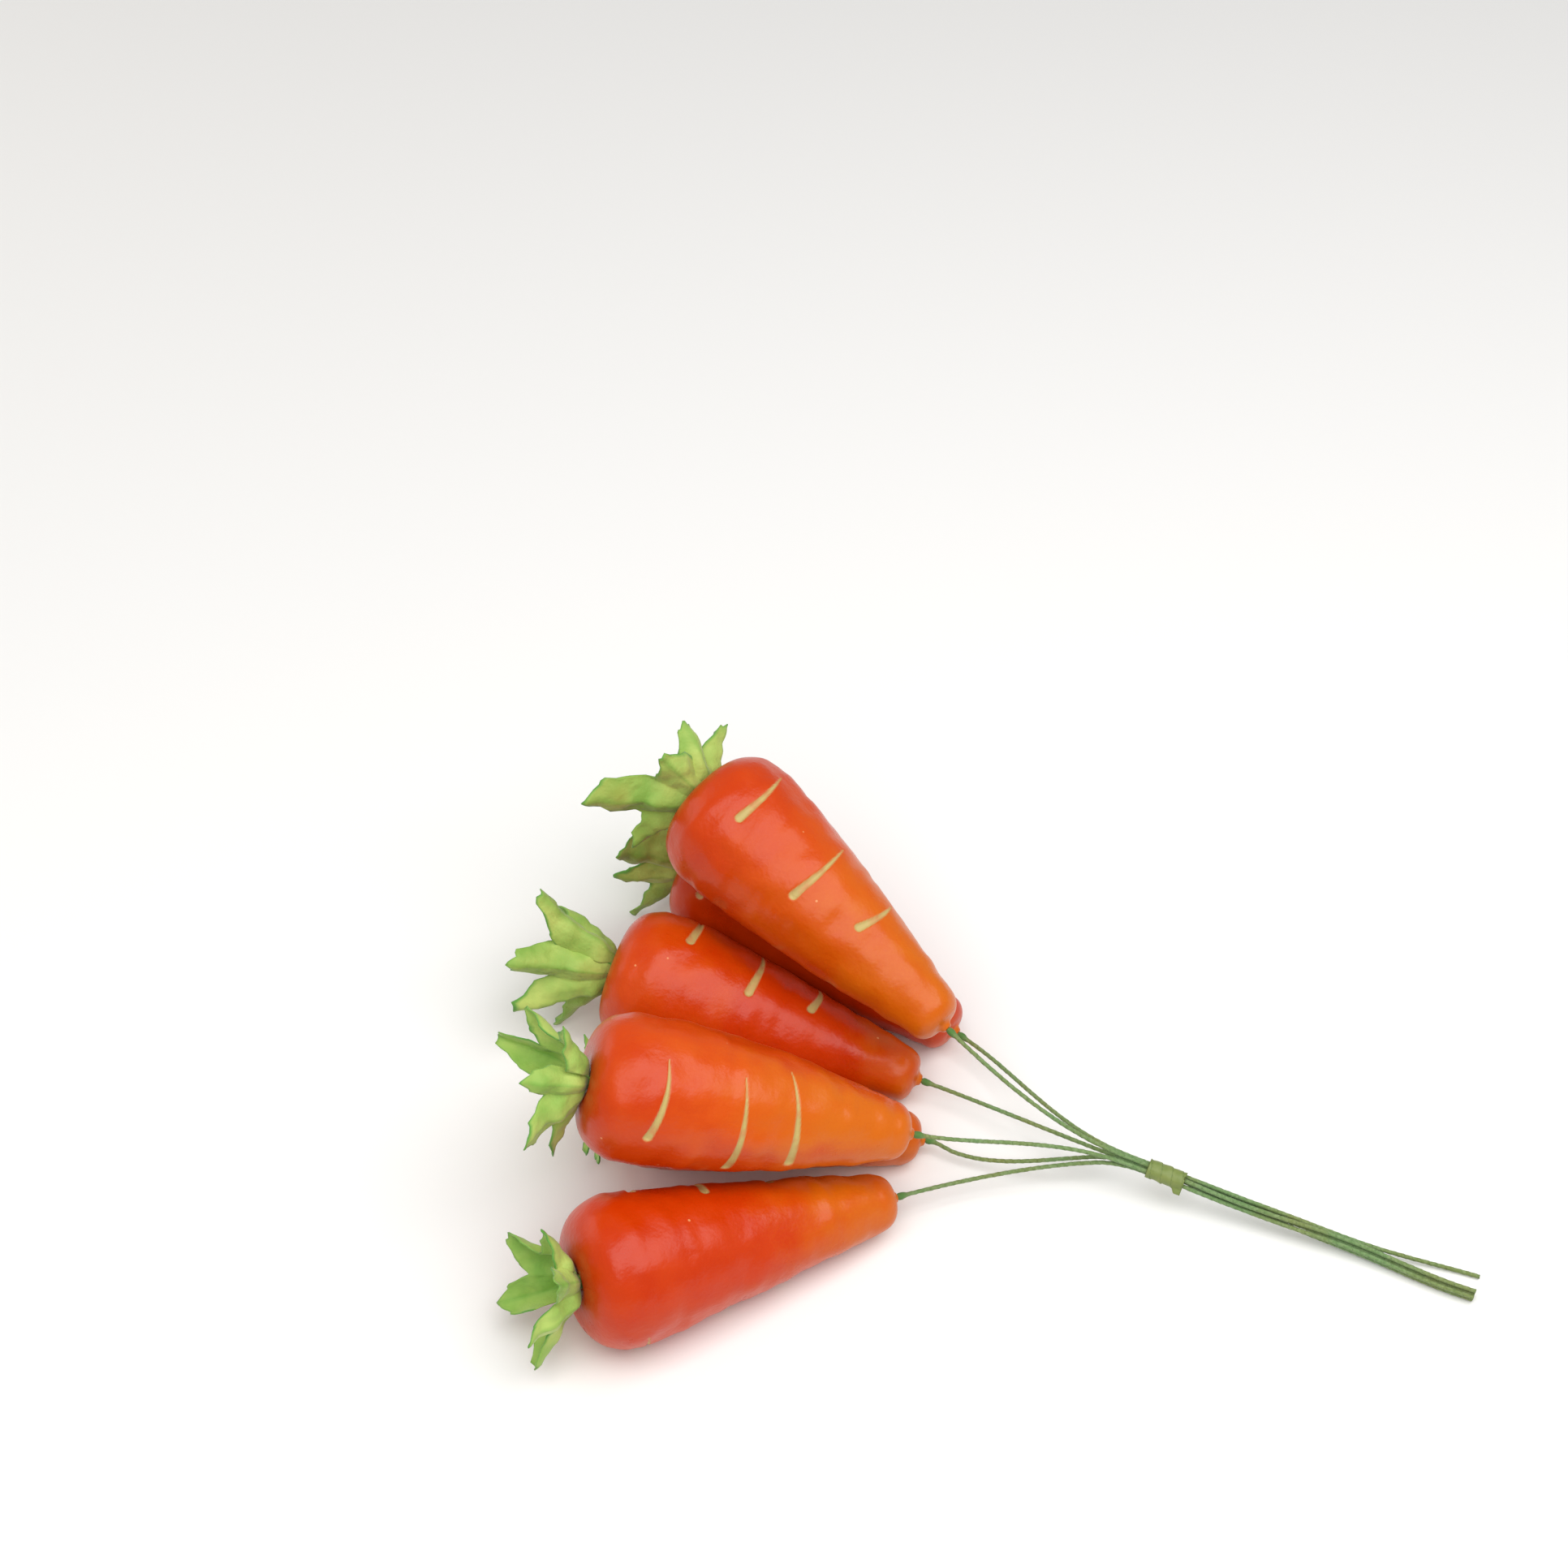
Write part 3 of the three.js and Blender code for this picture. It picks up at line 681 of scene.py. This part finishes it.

# %% [markdown]
# ## Cloth leaves
#
# The leaves are die-cut from starched green cloth, pleated by a hot tool and pinched into the crown two at
# a time. Cloth simulation would only let them droop, and these are stiff, so they are shaped directly: a grid
# is laid from the pinched foot to the points of the lobes, bent out over the crown, folded along the ribs and
# crumpled with smooth noise. The colour is darker towards the cut edges.

# %% Leaf outlines
# Each tuft has two leaves of three lobes. A lobe has its turn around the carrot's line from the top, the
# angle by which it opens away from that line, its length in mm, and how far its point curls. Nothing keeps
# two leaves of a tuft apart, so where their edges overlap they can cross, and a foot can touch the crown.
LEAVES = {
    "back_upper": [[(-126, 60, 17, 15), (-82, 40, 26, 8), (-30, 38, 16, 25)],
                   [(16, 34, 17, -20), (66, 38, 15, 20), (130, 18, 17, 0)]],
    "back_lower": [[(-146, 54, 19, 10), (-100, 38, 18, -20), (-56, 44, 23, 20)],
                   [(0, 36, 15, 0), (62, 30, 15, 20), (130, 32, 16, 0)]],
    "middle": [[(-158, 50, 19, 5), (-112, 32, 23, -10), (-62, 18, 26, 15)],
               [(-4, 20, 25, 20), (58, 14, 18, -20), (126, 24, 18, 0)]],
    "front_upper": [[(-152, 68, 16, 15), (-104, 30, 19, 25), (-54, 20, 18, -15)],
                    [(4, 32, 15, 20), (58, 20, 18, 10), (114, 18, 21, 0)]],
    "front_lower": [[(-150, 56, 13, 0), (-106, 70, 14, 30), (-66, 46, 13, 10)],
                    [(0, 26, 13, 0), (60, 28, 13, 0), (122, 34, 14, 0)]],
    "outer": [[(-140, 30, 18, 10), (-86, 26, 19, -15), (-34, 30, 15, 30)],
              [(22, 36, 14, 25), (80, 38, 16, 0), (146, 20, 18, 20)]],
}
STALK_RING = 1.3       # mm from the carrot's line to the pinched foot
STALK_ARC = 150        # degrees of the socket that one foot takes
LEAF_FOOT = 4.5        # mm of the foot inside the socket
EDGE_TURN = 34         # degrees from an outer lobe's point to the leaf's edge
NOTCH = 0.56           # how far out the notch between two lobes lies, as a part of their length
PLEAT = 12             # degrees by which notches fold in and ribs fold out
FLARE = 58             # extra lean just beyond the crown, lost over the next few mm
FLARE_LENGTH = 7
BEND_DEPTH = 1.1       # mm below the crown's edge at which the foot starts to open
BEND_PIECES = 12       # the bend is summed up in this many pieces
MOST_LEAN = 80         # degrees to which the flare may lay a leaf over
BEND_START = 1.2       # mm over which the bend sets in
PINCH_LENGTH = 4       # mm over which the pinched foot spreads to the lobes
FOLDS = (1.2, 0.45)    # mm of wide and of narrow folds
RIM = 2.2              # mm of darker colour along the edge
CREASE = 0.55          # mm by which a rib stands up
ACROSS_STEPS = 72
ALONG_STEPS = 26
POINTED = (1.35, 0.8, 1.15)   # a lobe with more is slimmer towards its point
TOOTH = 0.22           # height of the small teeth, as a part of the lobe
CLOTH = 0.28           # mm thick


def across_leaf(lobes, u):
    """Turn, opening, length, curl and distance from the rib (0 to 1) on the line at u, from 0 to 1."""
    turns = [lobe[0] for lobe in lobes]
    turn = mix(turns[0] - EDGE_TURN, turns[-1] + EDGE_TURN, u)
    borders = [turns[0] - EDGE_TURN, (turns[0] + turns[1]) / 2,
               (turns[1] + turns[2]) / 2, turns[-1] + EDGE_TURN]
    k = 0 if turn < borders[1] else 1 if turn < borders[2] else 2
    _, opening, length, curl = lobes[k]
    if turn < turns[k]:
        away = (turns[k] - turn) / (turns[k] - borders[k])
        neighbour = lobes[max(0, k - 1)]
    else:
        away = (turn - turns[k]) / (borders[k + 1] - turns[k])
        neighbour = lobes[min(2, k + 1)]
    share = away * 0.5
    opening = mix(opening, neighbour[1], share)
    notch = mix(length, neighbour[2], share) * NOTCH
    # The point of a lobe is narrow, its flanks are full, and each has a tooth or two.
    teeth = TOOTH * max(0, math.sin(away * 11 + k * 1.7 + length)) ** 2 * (1 - away)
    outline = (1 - away) ** POINTED[k] + teeth
    reach = mix(notch, length, min(1, outline)) if away > 0.001 else length
    return turn, opening + PLEAT * (0.5 - away), reach, curl * (1 - away), away


def leaf(name, number, index):
    lobes = LEAVES[name][number - 1]
    lie = LIES[name]
    back, top, side = -lie["along"], lie["top"], lie["side"]
    bm = bmesh.new()
    bmesh.ops.create_grid(bm, x_segments=ACROSS_STEPS, y_segments=ALONG_STEPS, size=1)
    edge_layer = bm.verts.layers.float.new("edge")
    rib_layer = bm.verts.layers.float.new("rib")
    middle_turn = (lobes[0][0] + lobes[-1][0]) / 2
    for vert in bm.verts:
        u, v = (vert.co.x + 1) / 2, (vert.co.y + 1) / 2
        turn, opening, length, curl, away = across_leaf(lobes, u)
        distance = mix(-LEAF_FOOT, length, v)
        pinched = middle_turn + (u - 0.5) * STALK_ARC
        angle = math.radians(mix(pinched, turn, min(1, max(0, distance / PINCH_LENGTH))))
        out = top * math.cos(angle) + side * math.sin(angle)
        point = lie["crown"] + out * STALK_RING
        point += back * min(distance, -BEND_DEPTH)
        tilt = 0
        bent = max(0, distance + BEND_DEPTH)
        for k in range(BEND_PIECES):
            along = (k + 0.5) / BEND_PIECES * bent
            lean = opening + FLARE * max(0, 1 - along / FLARE_LENGTH) + curl * (along / length) ** 2
            tilt = math.radians(min(lean, max(opening, MOST_LEAN)) * min(1, along / BEND_START))
            point += (back * math.cos(tilt) + out * math.sin(tilt)) * bent / BEND_PIECES
        outward = out * math.cos(tilt) - back * math.sin(tilt)
        free = smooth_step(1, 7, distance)
        spot = point + Vector((index * 31, 0, 0))
        height = CREASE * (0.5 - away) + FOLDS[0] * noise.noise(spot / 5) + FOLDS[1] * noise.noise(spot / 2)
        vert.co = point + outward * height * free
        vert[edge_layer] = 1 - min(1, (length - distance) / RIM) if distance > 2 else 0
        vert[rib_layer] = 1 - away
    bmesh.ops.recalc_face_normals(bm, faces=bm.faces)
    piece = finish_piece(bm, f"cloth_leaf_{name}_{number}", STARCHED_CLOTH,
                         f"leaf_{name}_{number}")
    thickness = piece.modifiers.new("cloth_thickness", "SOLIDIFY")
    thickness.thickness = CLOTH * MM
    thickness.offset = 0
    return piece


# %% [markdown]
# ## Starched cloth
#
# The cloth is a fine plain weave of polyester, dyed in the piece and stiffened with starch. It is matt with
# a slight sheen, its colour drifts from yellow-green to a mid green within one leaf, and thin threads cross
# it. The threads are drawn about 0.45 mm wide, coarser than real, so that they show.

# %% Cloth
def starched_cloth():
    material, tree, shader = new_material("polyester_cloth_dyed_starched", IOR=1.5,
                                          **{"Roughness": 0.7, "Sheen Weight": 0.2, "Sheen Roughness": 0.4})
    place = add_node(tree, "ShaderNodeTexCoord").outputs["Object"]
    edge = add_node(tree, "ShaderNodeAttribute", attribute_name="edge").outputs["Fac"]
    rib = add_node(tree, "ShaderNodeAttribute", attribute_name="rib").outputs["Fac"]
    drift = add_node(tree, "ShaderNodeTexNoise", {"Vector": place, "Scale": 85, "Detail": 3}).outputs["Fac"]
    spread = add_node(tree, "ShaderNodeMapRange", {"Value": drift, "From Min": 0.35,
                                                   "From Max": 0.65}).outputs[0]
    colour = blend_colours(tree, spread, linear("#80ac44"), linear("#b8cc68"))
    olive = add_node(tree, "ShaderNodeTexNoise", {"Vector": place, "Scale": 42, "Detail": 2}).outputs["Fac"]
    patch = add_node(tree, "ShaderNodeMapRange", {"Value": olive, "From Min": 0.6, "From Max": 0.72,
                                                  "To Max": 0.75}).outputs[0]
    colour = blend_colours(tree, patch, colour, linear("#7d8a1c"))
    vein = add_node(tree, "ShaderNodeMapRange", {"Value": rib, "From Min": 0.88, "From Max": 1,
                                                 "To Max": 0.45}).outputs[0]
    colour = blend_colours(tree, vein, colour, linear("#5c9a2e"))
    rim = add_node(tree, "ShaderNodeMath", {0: drift, 1: 2.2, 2: edge}, operation="MULTIPLY_ADD").outputs[0]
    rim = add_node(tree, "ShaderNodeMapRange", {"Value": rim, "From Min": 1.75, "From Max": 2.25,
                                                "To Max": 0.85}).outputs[0]
    colour = blend_colours(tree, rim, colour, linear("#3f8f2a"))
    tree.links.new(colour, shader.inputs["Base Color"])
    threads = add_node(tree, "ShaderNodeTexNoise", {"Vector": place, "Scale": 2200, "Detail": 1})
    crumple = add_node(tree, "ShaderNodeTexNoise", {"Vector": place, "Scale": 550, "Detail": 2})
    folds = add_node(tree, "ShaderNodeBump", {"Height": crumple.outputs["Fac"], "Strength": 0.5,
                                              "Distance": 0.0005})
    bump = add_node(tree, "ShaderNodeBump", {"Height": threads.outputs["Fac"], "Strength": 0.35,
                                             "Distance": 0.0001, "Normal": folds.outputs["Normal"]})
    tree.links.new(bump.outputs["Normal"], shader.inputs["Normal"])
    return material


STARCHED_CLOTH = starched_cloth()
for index, name in enumerate(NAMES):
    for number in (1, 2):
        print(leaf(name, number, index * 2 + number).name)

# %% [markdown]
# ## Floor, light and camera
#
# The bunch lies on a plain white table top. A large softbox hangs over it and gives each carrot one wide
# highlight along its back, a low pale window from the left picks out the crowns, and a white surrounding
# fills the shadows. A long lens keeps the far carrots nearly as large as the near ones.

# %% Floor and light
scene = bpy.context.scene
centre = (Vector(CAD_BOX[0]) + Vector(CAD_BOX[1])) / 2
centre.z = 0


def aimed(name, data, place, target):
    """An object whose view or beam points from place to target."""
    made = bpy.data.objects.new(name, data)
    made.location = place
    made.rotation_euler = (Vector(target) - Vector(place)).to_track_quat("-Z", "Y").to_euler()
    scene.collection.objects.link(made)
    return made


def softbox(name, size, power, place, colour):
    lamp = bpy.data.lights.new(name, "AREA")
    lamp.shape = "RECTANGLE"
    lamp.size, lamp.size_y = size
    lamp.energy = power
    lamp.color = linear(colour)[:3]
    return aimed(name, lamp, place, centre)


FLOOR_SIZE = 6.0
bm = bmesh.new()
bmesh.ops.create_grid(bm, x_segments=2, y_segments=2, size=FLOOR_SIZE / 2)
floor_mesh = bpy.data.meshes.new("floor")
bm.to_mesh(floor_mesh)
bm.free()
floor = bpy.data.objects.new("floor", floor_mesh)
floor.location.z = -0.0002
scene.collection.objects.link(floor)
laminate = new_material("table_top_matt_white_laminate",
                        **{"Base Color": linear("#f6f5f3"), "Roughness": 0.7})
floor_mesh.materials.append(laminate[0])

softbox("overhead_softbox", (1.0, 0.56), 5.4, centre + Vector((0.13, -0.12, 0.62)), "#ffffff")
softbox("left_window", (0.5, 0.4), 0.9, centre + Vector((-0.75, 0.12, 0.3)), "#fffaf2")

surround = bpy.data.worlds.new("white_surround")
surround.use_nodes = True
background = surround.node_tree.nodes["Background"]
background.inputs["Color"].default_value = linear("#ffffff")
background.inputs["Strength"].default_value = 0.38
scene.world = surround
scene.view_settings.view_transform = "Standard"

# %% Camera
AIM = Vector((-0.0748, 0.0993, 0))      # where on the table it looks
AZIMUTH, ELEVATION = math.radians(20), math.radians(48)
DISTANCE = 0.85
from_aim = Vector((math.sin(AZIMUTH) * math.cos(ELEVATION), -math.cos(AZIMUTH) * math.cos(ELEVATION),
                   math.sin(ELEVATION)))
lens = bpy.data.cameras.new("camera")
lens.lens, lens.sensor_width = 85, 36
scene.camera = aimed("camera", lens, AIM + from_aim * DISTANCE, AIM)
